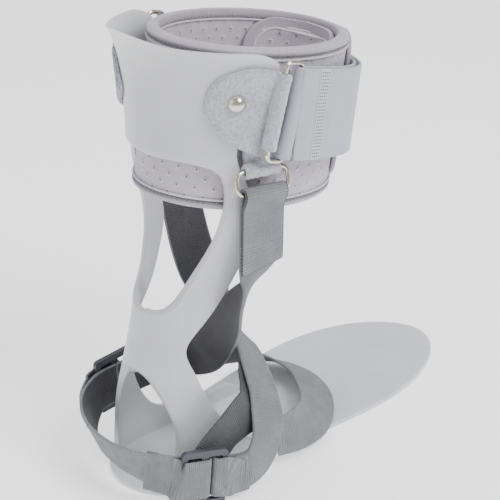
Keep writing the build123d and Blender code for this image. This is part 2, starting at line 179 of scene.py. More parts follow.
def strap_look(dots=None):
    """Smooth webbing.  dots is the flat start and end of a welded dot pattern."""
    name = "smooth_strap_webbing" if dots is None else "welded_strap_webbing"
    look = Look(name, tone(170, 171, 182), 0.62, Sheen_Weight=0.25, Sheen_Roughness=0.4)
    look.mottle(120, tone(162, 163, 175), 0.7)
    look.mottle(1600, tone(184, 185, 195), 0.4)
    look.knit(0.0007, 0.00005)
    if dots:
        u, v = look.flat_uv()
        pitch = 0.0019

        def from_middle(flat):
            """Square of the distance from the middle of a dot's cell, along one flat direction."""
            share = look.math("FRACT", look.math("DIVIDE", flat, pitch))
            return look.math("POWER", look.math("SUBTRACT", share, 0.5), 2.0)

        away = look.math("SQRT", look.math("ADD", from_middle(u), from_middle(v)))
        dot = look.ramp(away, 0.2, 0.34, 1.0, 0.0)
        past_start = look.math("GREATER_THAN", u, dots[0])
        inside = look.math("MULTIPLY", past_start, look.math("LESS_THAN", u, dots[1]))
        dot = look.math("MULTIPLY", dot, inside)
        pale = look.blend(look.math("MULTIPLY", inside, 0.5), look.colour, tone(206, 208, 216))
        look.put("Base Color", look.blend(dot, pale, tone(52, 54, 66)))
        look.bump(look.math("SUBTRACT", 1.0, dot), 0.0004)
    return look.material


def felt_look(name, colour, shade):
    look = Look(name, colour, 0.95, Sheen_Weight=0.8, Sheen_Roughness=0.6)
    look.mottle(160, shade, 0.9)
    look.mottle(620, tone(203, 204, 214), 0.55)
    look.mottle(1500, tone(128, 129, 140), 0.4)
    look.bump(look.noise(420, 5.0), 0.0012)
    look.bump(look.noise(1400, 4.0), 0.0005)
    return look.material


def elastic_look(name, colour, thread):
    """Knitted elastic with ribs across the band and fine wales along it."""
    look = Look(name, colour, 0.88, Sheen_Weight=0.15, Sheen_Roughness=0.5)
    look.mottle(1300, thread, 0.6)
    look.mottle(90, tuple(0.86 * c for c in colour[:3]) + (1.0,), 0.7)
    u, v = look.flat_uv()
    rib = look.math("SINE", look.math("MULTIPLY", u, 2 * math.pi / 0.0012))
    wale = look.math("SINE", look.math("MULTIPLY", v, 2 * math.pi / 0.0009))
    weave = look.math("ADD", look.math("MULTIPLY", rib, 0.7), look.math("MULTIPLY", wale, 0.3))
    # Troughs between the ribs are darkened: painted shade in the recesses of the knit.
    dark = tuple(0.62 * c for c in colour[:3]) + (1.0,)
    look.put("Base Color", look.blend(look.ramp(weave, -0.9, 0.1, 0.7, 0.0), look.colour, dark))
    look.bump(weave, 0.00022)
    return look.material


def metal_look():
    look = Look("bright_nickel", tone(214, 208, 196), 0.16, Metallic=1.0)
    look.mottle(240, tone(190, 184, 172), 0.4)
    look.put("Roughness", look.ramp(look.noise(700, 4.0), 0.3, 0.7, 0.1, 0.26))
    look.bump(look.noise(900, 3.0), 0.00002)
    return look.material


def slider_look():
    look = Look("dark_slider_plastic", tone(70, 70, 78), 0.34)
    look.mottle(300, tone(60, 60, 68), 0.6)
    look.bump(look.noise(1300, 3.0), 0.00005)
    return look.material


def thread_look(name, colour):
    look = Look(name, colour, 0.8, Sheen_Weight=0.3)
    look.mottle(1500, tuple(0.8 * c for c in colour[:3]) + (1.0,), 0.8)
    look.bump(look.noise(4000, 2.0), 0.0001)
    return look.material


MOULDING = moulding_look()
PANEL = perforated_look()
BINDING = binding_look()
STRAP = strap_look()
FELT = felt_look("brushed_loop_felt", tone(174, 174, 184), tone(152, 152, 163))
# Darker copy of the felt, used for the hook patch and, as painted shade, for the medial calf tab.
HOOK_AND_SHADED_TAB_FELT = felt_look("dark_hook_and_painted_shade_felt", tone(96, 98, 108), tone(84, 86, 96))
ELASTIC = elastic_look("ribbed_elastic_face", tone(126, 127, 132), tone(152, 153, 158))
# Darker copy of the elastic: painted shade for faces turned away from the light, mostly the inner faces.
ELASTIC_PAINTED_SHADE = elastic_look("ribbed_elastic_painted_shade", tone(72, 72, 77), tone(90, 90, 95))
NICKEL = metal_look()
SLIDER = slider_look()
PALE_THREAD = thread_look("pale_thread", tone(206, 203, 210))
GREY_THREAD = thread_look("grey_thread", tone(120, 121, 126))


# ---- mesh helpers -------------------------------------------------------
def add_object(name, mesh, materials, body):
    """Put a mesh in the scene and let it ride on a body."""
    for material in materials:
        mesh.materials.append(material)
    made = bpy.data.objects.new(name, mesh)
    bpy.context.scene.collection.objects.link(made)
    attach(made, body)
    return made


def build(name, points, faces, materials, body, uvs=None, slots=None):
    """Smooth-shaded piece from points in millimetres."""
    mesh = bpy.data.meshes.new(name)
    mesh.from_pydata([Vector(p) * MM for p in points], [], faces)
    if uvs:
        layer = mesh.uv_layers.new(name="flat")
        for loop in mesh.loops:
            layer.data[loop.index].uv = (uvs[loop.vertex_index][0] * MM, uvs[loop.vertex_index][1] * MM)
    for i, face in enumerate(mesh.polygons):
        face.use_smooth = True
        if slots:
            face.material_index = slots[i]
    mesh.update()
    return add_object(name, mesh, materials, body)


def thick_sheet(name, outer, inner, flat, materials, body, closed=False, edge=0.9, slot_of=None):
    """Closed sheet between two matching grids of points, with a rounded rim.

    flat holds the sheet's flat coordinates, edge is how far the rim bulges,
    and slot_of picks a material for a cell from its row, its column and
    whether it is on the outer face.
    """
    rows, cols = len(outer), len(outer[0])
    points = [p for row in outer for p in row] + [p for row in inner for p in row]
    uvs = [p for row in flat for p in row] * 2
    shift = rows * cols
    faces, slots = [], []

    def pick(r, c, is_outer):
        return slot_of(min(r, rows - 2), min(c, cols - 2), is_outer) if slot_of else 0

    for r in range(rows if closed else rows - 1):
        n = (r + 1) % rows
        for c in range(cols - 1):
            a, b, d, e = r * cols + c, r * cols + c + 1, n * cols + c + 1, n * cols + c
            faces.append((a, b, d, e))
            slots.append(pick(r, c, True))
            faces.append((a + shift, e + shift, d + shift, b + shift))
            slots.append(pick(r, c, False))

    down = [(r, 0) for r in range(rows)]
    up = [(r, cols - 1) for r in reversed(range(rows))]
    if closed:
        loops = [down, up]
    else:
        first = [(0, c) for c in reversed(range(1, cols - 1))]
        last = [(rows - 1, c) for c in range(1, cols - 1)]
        loops = [first + down + last + up]
    for loop in loops:
        arcs = []
        for r, c in loop:
            out = Vector((0, 0, 0))
            if c in (0, cols - 1):
                out += outer[r][c] - outer[r][c + 1 if c == 0 else c - 1]
            if not closed and r in (0, rows - 1):
                out += outer[r][c] - outer[r + 1 if r == 0 else r - 1][c]
            out.normalize()
            middle = (outer[r][c] + inner[r][c]) / 2
            half = (outer[r][c] - inner[r][c]) / 2
            arc = [r * cols + c]
            for k in (1, 2, 3):
                turn = math.pi * k / 4
                arc.append(len(points))
                points.append(middle + half * math.cos(turn) + out * (edge * math.sin(turn)))
                uvs.append(flat[r][c])
            arcs.append((arc + [r * cols + c + shift], pick(r, c, True)))
        for k, (near, slot) in enumerate(arcs):
            far = arcs[(k + 1) % len(arcs)][0]
            for m in range(4):
                faces.append((near[m], far[m], far[m + 1], near[m + 1]))
                slots.append(slot)
    return build(name, points, faces, materials, body, uvs, slots)


def smooth_line(values, steps):
    """Points on a smooth line through a list of vectors."""
    line = []
    last = len(values) - 1
    for i in range(last):
        a, b, c, d = values[max(i - 1, 0)], values[i], values[i + 1], values[min(i + 2, last)]
        for k in range(steps):
            t = k / steps
            bend = (2 * a - 5 * b + 4 * c - d) * t * t + (3 * b - a - 3 * c + d) * t ** 3
            line.append(0.5 * (2 * b + (c - a) * t + bend))
    line.append(values[last].copy())
    return line


def tangents(line, closed=False):
    """Unit directions along a line of points."""
    count = len(line)
    out = []
    for i in range(count):
        before = line[(i - 1) % count] if closed else line[max(i - 1, 0)]
        after = line[(i + 1) % count] if closed else line[min(i + 1, count - 1)]
        out.append((after - before).normalized())
    return out


def piping(name, line, radius, material, body, closed=False):
    """Round cord sewn along a line."""
    sides = 8
    points, faces = [], []
    for p, along in zip(line, tangents(line, closed)):
        across = along.cross(Vector((0.31, 0.17, 0.93))).normalized()
        up = along.cross(across)
        for k in range(sides):
            turn = 2 * math.pi * k / sides
            points.append(p + (across * math.cos(turn) + up * math.sin(turn)) * radius)
    count = len(line)
    for i in range(count if closed else count - 1):
        n = (i + 1) % count
        for k in range(sides):
            m = (k + 1) % sides
            faces.append((i * sides + k, i * sides + m, n * sides + m, n * sides + k))
    if not closed:
        faces.append(tuple(range(sides))[::-1])
        faces.append(tuple((count - 1) * sides + k for k in range(sides)))
    return build(name, points, faces, [material], body)


def stitches(name, line, normals, material, body, pitch=3.0, length=2.1, radius=0.32):
    """Row of short thread stitches lying on a surface."""
    points, faces = [], []
    travelled, due = 0.0, pitch / 2
    sides, rings = 6, ((-1.0, 0.25), (-0.7, 0.8), (0.0, 1.0), (0.7, 0.8), (1.0, 0.25))
    for i in range(len(line) - 1):
        step = (line[i + 1] - line[i]).length
        while step > 0 and due <= travelled + step:
            share = (due - travelled) / step
            centre = line[i].lerp(line[i + 1], share)
            normal = normals[i].lerp(normals[i + 1], share).normalized()
            along = (line[i + 1] - line[i]).normalized()
            across = along.cross(normal).normalized()
            base = len(points)
            for reach, girth in rings:
                for k in range(sides):
                    turn = 2 * math.pi * k / sides
                    lean = normal * math.sin(turn) + across * math.cos(turn)
                    lift = lean * (radius * girth)
                    points.append(centre + along * (reach * length / 2) + lift)
            for r in range(len(rings) - 1):
                for k in range(sides):
                    m = (k + 1) % sides
                    a, b = base + r * sides, base + (r + 1) * sides
                    faces.append((a + k, a + m, b + m, b + k))
            faces.append(tuple(base + k for k in range(sides))[::-1])
            faces.append(tuple(base + (len(rings) - 1) * sides + k for k in range(sides)))
            due += pitch
        travelled += step
    return build(name, points, faces, [material], body)


# ---- calf section: liner, flaps and strap -------------------------------
LEG_LEAN = math.radians(8.1)
LEG_ORIGIN = Vector((35.5, 0, 225))
LEG_X = Vector((math.cos(LEG_LEAN), 0, -math.sin(LEG_LEAN)))
LEG_Y = Vector((0, 1, 0))
LEG_Z = Vector((math.sin(LEG_LEAN), 0, math.cos(LEG_LEAN)))
LINER_LOW = -54.5
LINER_HIGH = 39.0
BINDING_TALL = 7.0


def leg_point(angle, along, a, b):
    """Point on an elliptical tube about the leg axis."""
    return LEG_ORIGIN + LEG_X * (a * math.cos(angle)) + LEG_Y * (b * math.sin(angle)) + LEG_Z * along


def leg_normal(angle, a, b):
    """Outward direction of an elliptical tube."""
    return (LEG_X * (math.cos(angle) / a) + LEG_Y * (math.sin(angle) / b)).normalized()


def even_angles(a, b, first, last, count):
    """Angles that divide an elliptical arc into equal lengths, with the length of the arc so far."""
    fine = 1440
    step = (last - first) / fine
    lengths = [0.0]
    for i in range(fine):
        turn = first + (i + 0.5) * step
        lengths.append(lengths[-1] + abs(step) * math.hypot(a * math.sin(turn), b * math.cos(turn)))
    angles, marks, k = [], [], 0
    for i in range(count + 1):
        goal = lengths[-1] * i / count
        while k < fine - 1 and lengths[k + 1] < goal:
            k += 1
        share = (goal - lengths[k]) / max(lengths[k + 1] - lengths[k], 1e-9)
        angles.append(first + (k + share) * step)
        marks.append(goal)
    return angles, marks


def puff(angle, along, amount):
    """Gentle unevenness of soft foam, in millimetres."""
    return amount * noise.noise(Vector((math.cos(angle) * 2.2, math.sin(angle) * 2.2, along * 0.035)))


def leg_wrap(name, low, high, outer, inner, material, count, tall, rim, crown=0.0, wave=0.4):
    """Closed soft ring about the leg, crowned by a little in the middle of its height."""
    angles, marks = even_angles(outer[0], outer[1], 0, 2 * math.pi, count)
    outs, ins, flat = [], [], []
    for angle, mark in zip(angles[:-1], marks[:-1]):
        row_out, row_in, row_flat = [], [], []
        for j in range(tall + 1):
            share = j / tall
            along = low + (high - low) * share
            swell = crown * (1 - (2 * share - 1) ** 4) + puff(angle, along, wave)
            row_out.append(leg_point(angle, along, outer[0] + swell, outer[1] + swell))
            row_in.append(leg_point(angle, along, inner[0] - swell * 0.5, inner[1] - swell * 0.5))
            row_flat.append((mark, along))
        outs.append(row_out)
        ins.append(row_in)
        flat.append(row_flat)
    return thick_sheet(name, outs, ins, flat, [material], BRACE, closed=True, edge=rim)


liner = leg_wrap("liner_wall", LINER_LOW + BINDING_TALL - 0.6, LINER_HIGH - BINDING_TALL + 0.6,
                 (63.2, 47.2), (58.2, 42.2), PANEL, 300, 60, 0.4)
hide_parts("calf_liner")

for low, high, name, node in (
        (LINER_HIGH - BINDING_TALL, LINER_HIGH, "liner_top_edge", "liner_binding_top"),
        (LINER_LOW, LINER_LOW + BINDING_TALL, "liner_bottom_edge", "liner_binding_bottom")):
    rim = 2.6
    edge = leg_wrap(name, low + rim, high - rim, (63.8, 47.8), (57.6, 41.6), BINDING, 260, 6, rim,
                    crown=0.3, wave=0.25)
    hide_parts(node)
    seam = high if low == LINER_LOW else low
    for a, b, face in ((63.7, 47.7, "outer"), (57.7, 41.7, "inner")):
        ring = [leg_point(t, seam, a, b) for t in even_angles(a, b, 0, 2 * math.pi, 240)[0][:-1]]
        piping(f"{name}_{face}_piping", ring, 0.65, PALE_THREAD, BRACE, closed=True)
        outward = 1 if face == "outer" else -1
        side = 1 if seam == high else -1
        angles = even_angles(a, b, 0, 2 * math.pi, 400)[0]
        row = [leg_point(t, seam - side * 1.9, a + 0.25 * outward, b + 0.25 * outward) for t in angles]
        normals = [leg_normal(t, a, b) * outward for t in angles]
        stitches(f"{name}_{face}_stitches", row, normals, GREY_THREAD, BRACE)


def flap(name, node, outer, inner, first, last, low, high, corner):
    """End of the wrap with rounded corners, a bound edge and a sewn cord inside it."""
    middle = ((outer[0] + inner[0]) / 2, (outer[1] + inner[1]) / 2)
    angles, marks = even_angles(middle[0], middle[1], first, last, 360)
    length = marks[-1]

    def angle_at(mark):
        place = max(0.0, min(1.0, mark / length)) * 360
        k = min(int(place), 359)
        return angles[k] + (angles[k + 1] - angles[k]) * (place - k)

    def inset(along, margin):
        """How far the rounded end has drawn in at a height."""
        near = min(along - low, high - along) - margin
        radius = corner - margin
        if near >= radius:
            return margin
        return margin + radius - math.sqrt(max(radius ** 2 - (radius - max(near, 0)) ** 2, 0))

    outs, ins, flat = [], [], []
    tall, wide = 60, 96
    heights = [low + (high - low) * 0.5 * (1 - math.cos(math.pi * j / tall)) for j in range(tall + 1)]
    for i in range(wide + 1):
        share = 0.5 * (1 - math.cos(math.pi * i / wide))
        row_out, row_in, row_flat = [], [], []
        for along in heights:
            draw = inset(along, 0)
            mark = draw + (length - 2 * draw) * share
            angle = angle_at(mark)
            row_out.append(leg_point(angle, along, *outer))
            row_in.append(leg_point(angle, along, *inner))
            row_flat.append((mark, along))
        outs.append(row_out)
        ins.append(row_in)
        flat.append(row_flat)

    def slot_of(r, c, is_outer):
        mark, along = flat[r][c]
        draw = inset(along, 0)
        rim = min(mark - draw, length - draw - mark, along - low, high - along)
        return 1 if rim < 5.5 else 0

    made = thick_sheet(name, outs, ins, flat, [PANEL, BINDING], BRACE, edge=1.1, slot_of=slot_of)
    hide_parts(node)
    margin = 6.0
    loop = []
    for share in [k / 60 for k in range(61)]:
        along = low + margin + (high - low - 2 * margin) * 0.5 * (1 - math.cos(math.pi * share))
        loop.append((inset(along, margin), along))
    loop = loop + [(length - mark, along) for mark, along in reversed(loop)]
    for face, size, outward in (("outer", outer, 1), ("inner", inner, -1)):
        lift = 0.1 * outward
        line = [leg_point(angle_at(m), h, size[0] + lift, size[1] + lift) for m, h in loop]
        piping(f"{name}_{face}_piping", line, 0.55, PALE_THREAD, BRACE, closed=True)
    return made


flap("liner_inner_end", "liner_inner_flap", (57.0, 41.0), (54.2, 38.2),
     math.radians(-38), math.radians(58), -46, 35, 20)
flap("liner_outer_end", "liner_outer_flap", (67.2, 51.2), (64.4, 48.4),
     math.radians(-32), math.radians(66), -52, 36, 15)

STRAP_LEAN = math.radians(15.5)
STRAP_AXIS = Vector((math.sin(STRAP_LEAN), 0, math.cos(STRAP_LEAN)))
STRAP_ALONG = Vector((math.cos(STRAP_LEAN), 0, -math.sin(STRAP_LEAN)))
STRAP_CENTRE = Vector((37, 0, 228.6))
STRAP_HALF = 24.8
CALF_RING = Vector((13.3, 57.6, 235.2))
FRONT_BAR = 6.0


def bar_point(side, offset):
    """Point on a straight bar of the calf ring."""
    return Vector((CALF_RING.x, side * CALF_RING.y, CALF_RING.z)) + STRAP_ALONG * offset


STRAP_LINE = [(70, 0), (65.5, 16.5), (54, 33.2), (38, 44.6), (20, 51), (0, 54.2), (-17, 54.6), (-40, 50)]
ACROSS = 16
LEVELS = [STRAP_HALF * (2 * j / ACROSS - 1) for j in range(ACROSS + 1)]


def strap_middle():
    """Dense middle line of the strap about the leg, from the lateral back round the front."""
    half = [Vector((x, y, 0)) for x, y in STRAP_LINE]
    mirrored = [Vector((p.x, -p.y, 0)) for p in half[:0:-1]]
    return smooth_line(mirrored + half, 24)


MIDDLE = strap_middle()


def strap_rows(clearances, half, first, last):
    """Rows of points across the strap at clearances from its middle, between two stops along it.

    A clearance is given at the ring and at the front, and a stop is a side of the leg and
    a distance ahead of the ring's front bar.
    """
    levels = [half * (2 * j / ACROSS - 1) for j in range(ACROSS + 1)]
    along = tangents(MIDDLE)
    rows = []
    for spot, direction in zip(MIDDLE, along):
        normal = Vector((direction.y, -direction.x, 0))
        share = min(max((spot.x + 16) / 41, 0), 1)
        row = []
        for at_ring, at_front in clearances:
            place = spot + normal * (at_ring + (at_front - at_ring) * share)
            base = LEG_ORIGIN + LEG_X * place.x + LEG_Y * place.y
            line = []
            for height in levels:
                rise = (height - (base - STRAP_CENTRE).dot(STRAP_AXIS)) / LEG_Z.dot(STRAP_AXIS)
                line.append(base + LEG_Z * rise)
            row.append(line)
        centre = row[0][ACROSS // 2]
        side = -1 if centre.y < 0 else 1
        ahead = (centre - bar_point(side, FRONT_BAR)).dot(STRAP_ALONG)
        if (side == first[0] and ahead < first[1]) or (side == last[0] and ahead < last[1]):
            continue
        if first[0] == last[0] and (side != first[0] or ahead > last[2]):
            continue
        rows.append(row)
    return rows


def fold_rows(side, reach, radius=3.3, half_thick=0.9):
    """Rows of points that carry the strap round a ring bar, from the inside to the outside."""
    bar = bar_point(side, FRONT_BAR)
    outward = Vector((0, side, 0))
    rows = []
    turns = [(math.pi * k / 14, 0.0) for k in range(15)]
    turns += [(math.pi, reach * k / 6) for k in range(1, 7)]
    for turn, ahead in turns:
        direction = outward * -math.cos(turn) - STRAP_ALONG * math.sin(turn)
        centre = bar + STRAP_ALONG * ahead
        near = [centre + direction * (radius - half_thick) + STRAP_AXIS * h for h in LEVELS]
        far = [centre + direction * (radius + half_thick) + STRAP_AXIS * h for h in LEVELS]
        rows.append([near, far])
    return rows


def strap_sheet(name, rows, materials, body, rim=0.8):
    """Sheet from rows of outer and inner points, with its flat length."""
    length, flat = 0.0, []
    width = (rows[0][0][-1] - rows[0][0][0]).length
    for i, (near, _) in enumerate(rows):
        if i:
            length += (near[ACROSS // 2] - rows[i - 1][0][ACROSS // 2]).length
        flat.append([(length, width * (j / ACROSS - 0.5)) for j in range(ACROSS + 1)])
    outs, ins = [row[0] for row in rows], [row[1] for row in rows]
    made = thick_sheet(name, outs, ins, flat, materials, body, edge=rim)
    return made, length, width


wrap = strap_rows(((0.9, 0.9), (-0.9, -0.9)), STRAP_HALF, (-1, 1.0), (1, 1.0))
rows = fold_rows(-1, 1.5)[::-1] + wrap + fold_rows(1, 17)
strap, length, width = strap_sheet("calf_webbing", rows, [STRAP], BRACE)
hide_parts("calf_strap")

TONGUE_REACH = 91.0
WELD_AT = 14.0
WELD_WIDE = 9.4
rows = strap_rows(((7.5, 4.3), (5.7, 2.5)), STRAP_HALF, (-1, 0.6), (-1, 0.6, TONGUE_REACH))
WELDED = strap_look((WELD_AT * MM, (WELD_AT + WELD_WIDE) * MM))
tongue, length, width = strap_sheet("strap_end", rows, [WELDED], "tongue")
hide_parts("strap_tongue")
START = rows[0][0][ACROSS // 2]
ridge = min(rows, key=lambda row: abs((row[0][ACROSS // 2] - START).length - WELD_AT))
piping("strap_weld_edge", ridge[0], 0.35, STRAP, "tongue")

rows = strap_rows(((5.2, 2.2), (1.4, 1.4)), STRAP_HALF - 2, (-1, 11.0), (-1, 11.0, TONGUE_REACH))
hook, _, _ = strap_sheet("strap_hook", rows, [HOOK_AND_SHADED_TAB_FELT], "tongue", rim=0.3)
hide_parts("hook_patch")

# ---- felt tabs grown from their CAD solids ------------------------------
FELT_VOXEL = 0.55


def felt_piece(name, node, material):
    """Brushed felt copy of a node with soft uneven faces."""
    made = bpy.data.objects.new(name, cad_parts[node].data.copy())
    bpy.context.scene.collection.objects.link(made)
    made.data.materials.clear()
    remesh = made.modifiers.new("remesh", "REMESH")
    remesh.mode = "VOXEL"
    remesh.voxel_size = FELT_VOXEL * MM
    smooth = made.modifiers.new("smooth", "SMOOTH")
    smooth.iterations = 4
    evaluated = made.evaluated_get(bpy.context.evaluated_depsgraph_get())
    mesh = bpy.data.meshes.new_from_object(evaluated)
    made.modifiers.clear()
    made.data = mesh
    for vertex in mesh.vertices:
        place = vertex.co / MM
        rough = noise.noise(place * 0.55) * 0.28 + noise.noise(place * 1.5) * 0.16
        vertex.co += vertex.normal * (rough * MM)
    for face in mesh.polygons:
        face.use_smooth = True
    mesh.materials.append(material)
    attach(made, BRACE)
    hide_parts(node)
    return made


# The medial calf tab takes the darker felt as painted shade; the lateral tab and both hangers keep the lit
# felt.
for side in ("lateral", "medial"):
    felt_piece(side + "_felt_tab", side + "_calf_tab", FELT if side == "lateral" else HOOK_AND_SHADED_TAB_FELT)
    felt_piece(side + "_felt_hanger", side + "_ankle_tab", FELT)


# ---- elastic webbing ----------------------------------------------------
WEB = 26.6
WEB_THICK = 1.9
WEB_CELLS = 12
LOOP = 2.3
CROSS_RUN = [((5, -46, 136), (-0.95, -0.15, -0.1)), ((3, -40, 122), (-0.72, -0.62, -0.25)),
             ((6, -26, 103), (-0.28, -0.88, -0.38)), ((12, -9, 82), (0.1, -0.86, -0.48)),
             ((20, 11, 58), (0.28, -0.78, -0.55)), ((27, 27, 44.5), (0.25, -0.55, -0.8)),
             ((25, 38, 39.5), (0.1, -0.15, -0.98)), ((12, 43.5, 39), (0, 0, -1)),
             ((-2, 44.8, 39), (0, 0, -1)), ((-13, 45, 38.6), (0, 0, -1)), ((-24, 45, 38), (0, 0, -1))]
HEEL_RUN = [((-25, 45, 37.9), (0, 0, -1)), ((-40, 44.4, 36), (0.08, -0.06, -0.99)),
            ((-53, 37, 31), (0.25, -0.2, -0.94)), ((-63, 20, 28), (0.38, -0.12, -0.91)),
            ((-66, -1, 27), (0.4, 0, -0.91)), ((-63, -19, 26), (0.32, 0.12, -0.94)),
            ((-55, -33.5, 24.5), (0.12, 0.1, -0.98)), ((-46, -43, 23), (0, 0.02, -1)),
            ((-37.6, -47.4, 21.8), (0, 0, -1))]
INSTEP_RUN = [((-36, -48.1, 21.7), (0, 0, -1)), ((-22, -54, 18.6), (0.06, 0, -1)),
              ((-5, -57.5, 19.5), (0.3, 0, -0.95)), ((8, -54.5, 31), (0.58, -0.12, -0.8)),
              ((16, -45, 47), (0.55, -0.36, -0.75)), ((24, -28, 60), (0.58, -0.42, -0.7)),
              ((33, -7, 69), (0.7, -0.1, -0.7)), ((38.5, 12, 73.5), (0.4, 0.25, -0.85)),
              ((41.5, 30, 82), (-0.3, 0.6, -0.55)), ((39.5, 41, 95), (-0.75, 0.5, -0.35)),
              ((36, 46.5, 114), (-0.9, 0.36, -0.2)), ((33, 50, 135), (-0.95, 0.25, -0.12)),
              ((31, 52.4, 147), (-0.98, 0.08, -0.1))]
FOREFOOT_RUN = [((26, -47.5, 21), (0.1, -0.05, -0.99)), ((44, -46.5, 19.5), (0.15, -0.35, -0.92)),
                ((68, -35, 14.5), (0.45, -0.55, -0.7)), ((90, -13, 11.5), (0.74, -0.5, -0.47)),
                ((101, 10, 11), (0.88, 0.02, -0.47)), ((97, 31, 12.5), (0.66, 0.55, -0.52)),
                ((77, 45, 17.5), (0.25, 0.62, -0.74)), ((52, 49, 25), (0.06, 0.25, -0.96)),
                ((26, 48.8, 33), (0, 0, -1))]
RING_SHORT = 12.6
RING_TILT = math.radians(18)
# Ring centre, bar direction, level outward direction and hanging direction.
HANG = {
    "lateral": (Vector((2.5, -53, 197.2)), Vector((0.970, -0.242, 0)),
                Vector((-0.242, -0.970, 0)), Vector((0, 0, -1))),
    "medial": (Vector((27, 55.5, 191.2)), Vector((-0.995, 0, -0.1)),
               Vector((0, 1, 0)), Vector((0.1, 0, -0.995))),
}


def hanging_path(name, length):
    """Centre line of the sewn double end: cut end, up, round the ring bar and down again."""
    centre, bar, outward, hang = HANG[name]
    rise = hang * -math.cos(RING_TILT) - outward * math.sin(RING_TILT)
    lower = centre - rise * (RING_SHORT / 2)
    radius = LOOP + WEB_THICK / 2
    path = []
    steps = 24
    for k in range(steps + 1):
        down = length * (1 - k / steps)
        pinch = min(1.0, down / 11.0)
        pinch = pinch * pinch * (3 - 2 * pinch)
        out = radius * (1 - pinch) + (WEB_THICK + 0.15 - radius) * pinch
        path.append(lower + hang * down + outward * out)
    for k in range(1, 12):
        turn = math.pi * k / 12
        path.append(lower + outward * (radius * math.cos(turn)) - hang * (radius * math.sin(turn)))
    for k in range(steps + 1):
        path.append(lower + hang * (length * k / steps) - outward * radius)
    return path, bar


def run_path(run, steps=9):
    """Centre points and width directions along a webbing run."""
    line = smooth_line([Vector(p) for p, _ in run], steps)
    across = smooth_line([Vector(w) for _, w in run], steps)
    return line, across


def webbing(name, line, across, body, width=WEB, thick=WEB_THICK, cut=0.0, swapped=0):
    """Flat knitted band along a line, lit elastic outside and its darker painted-shade copy inside.  cut
    slants its first end, and swapped rows carry the painted-shade copy outside instead.
    """
    outs, ins, flat = [], [], []
    along = tangents(line)
    length = 0.0
    for i, point in enumerate(line):
        if i:
            length += (point - line[i - 1]).length
        wide = (across[i] - along[i] * across[i].dot(along[i])).normalized()
        normal = wide.cross(along[i])
        slant = max(0.0, 1 - length / 12) * cut
        row_out, row_in, row_flat = [], [], []
        for j in range(WEB_CELLS + 1):
            offset = (width - thick) * (j / WEB_CELLS - 0.5)
            centre = point + wide * offset + along[i] * (slant * (0.5 + offset / width))
            row_out.append(centre + normal * (thick / 2))
            row_in.append(centre - normal * (thick / 2))
            row_flat.append((length, offset))
        outs.append(row_out)
        ins.append(row_in)
        flat.append(row_flat)
    made = thick_sheet(name, outs, ins, flat, [ELASTIC, ELASTIC_PAINTED_SHADE], body, edge=thick / 2,
                       slot_of=lambda r, c, is_outer: 0 if is_outer == (r >= swapped) else 1)
    return made, length


def edge_lines(line, across, offset, lift):
    """A line on the face of a band, with the face's normals."""
    along = tangents(line)
    points, normals = [], []
    for i, point in enumerate(line):
        wide = (across[i] - along[i] * across[i].dot(along[i])).normalized()
        normal = wide.cross(along[i])
        points.append(point + wide * offset + normal * lift)
        normals.append(normal)
    return points, normals


def sewn_end(name, line, across, last):
    """Stitched border of a double end: two long rows and one across."""
    for offset in (-WEB / 2 + 3, WEB / 2 - 3):
        points, normals = edge_lines(line[:last], across[:last], offset, WEB_THICK / 2 + 0.05)
        row = stitches(f"{name}_row_{'left' if offset < 0 else 'right'}", points[1:], normals[1:],
                       GREY_THREAD, BRACE, pitch=2.2, length=1.7, radius=0.3)
    for place in (1, last - 4):
        ends = [edge_lines(line[:last], across[:last], offset, WEB_THICK / 2 + 0.05)
                for offset in (-WEB / 2 + 3, WEB / 2 - 3)]
        a, b = ends[0][0][place], ends[1][0][place]
        normal = ends[0][1][place]
        points = [a.lerp(b, k / 10) for k in range(11)]
        row = stitches(f"{name}_row_{'low' if place == 1 else 'high'}", points, [normal] * 11,
                       GREY_THREAD, BRACE, pitch=2.2, length=1.7, radius=0.3)


# Rows at the start of a hung band whose outer face takes the darker painted-shade copy of the elastic.
SEWN = 30
fold, bar = hanging_path("lateral", 42.0)
run, run_across = run_path([(tuple(fold[-1]), tuple(-bar))] + CROSS_RUN)
line = fold + run[1:]
across = [-bar] * len(fold) + run_across[1:]
piece, length = webbing("cross_elastic", line, across, BRACE, cut=-7.0, swapped=SEWN)
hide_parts("cross_strap")
sewn_end("cross_elastic", line, across, 25)

heel, heel_across = run_path(HEEL_RUN)
piece, length = webbing("heel_elastic", heel, heel_across, BRACE)
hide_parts("heel_strap")

fold, bar = hanging_path("medial", 31.0)
run, run_across = run_path(INSTEP_RUN + [(tuple(fold[-1]), tuple(bar))])
line = fold + run[-2::-1]
across = [-bar] * len(fold) + [-w for w in run_across[-2::-1]]
piece, length = webbing("instep_elastic", line, across, BRACE, swapped=SEWN)
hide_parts("instep_strap")
sewn_end("instep_elastic", line, across, 25)

# The same band comes back from the slider inside its own loop and is sewn to it over the instep. Its whole
# outer face takes the darker painted-shade copy of the elastic.
RETURN_RUN = [((-36, -46, 24), (0, 0, -1)), ((-28, -46.8, 33), (0.2, 0, -0.98)),
              ((-17, -47.5, 42), (0.42, 0, -0.9)), ((-5, -46, 46.5), (0.55, -0.1, -0.83)),
              ((6, -43.5, 48.5), (0.58, -0.25, -0.78)), ((14.5, -37, 52), (0.58, -0.36, -0.74)),
              ((20, -30.5, 56.5), (0.58, -0.42, -0.7)), ((23.2, -26.4, 58.3), (0.58, -0.42, -0.7))]
back, back_across = run_path(RETURN_RUN)
piece, length = webbing("instep_return", back, back_across, BRACE, thick=1.6, swapped=len(back))

forefoot, forefoot_across = run_path(FOREFOOT_RUN)
piece, length = webbing("forefoot_elastic", forefoot, forefoot_across, BRACE)
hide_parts("forefoot_strap")

# ---- sliders ------------------------------------------------------------
SLIDER_SEATS = {
    "lateral": (Vector((-37, -47.7, 21.8)), Vector((0.93, -0.37, -0.06)), Vector((-0.37, -0.93, 0))),
    "medial": (Vector((-24.3, 45, 38)), Vector((0.99, 0.02, 0.08)), Vector((-0.02, 1, 0))),
}


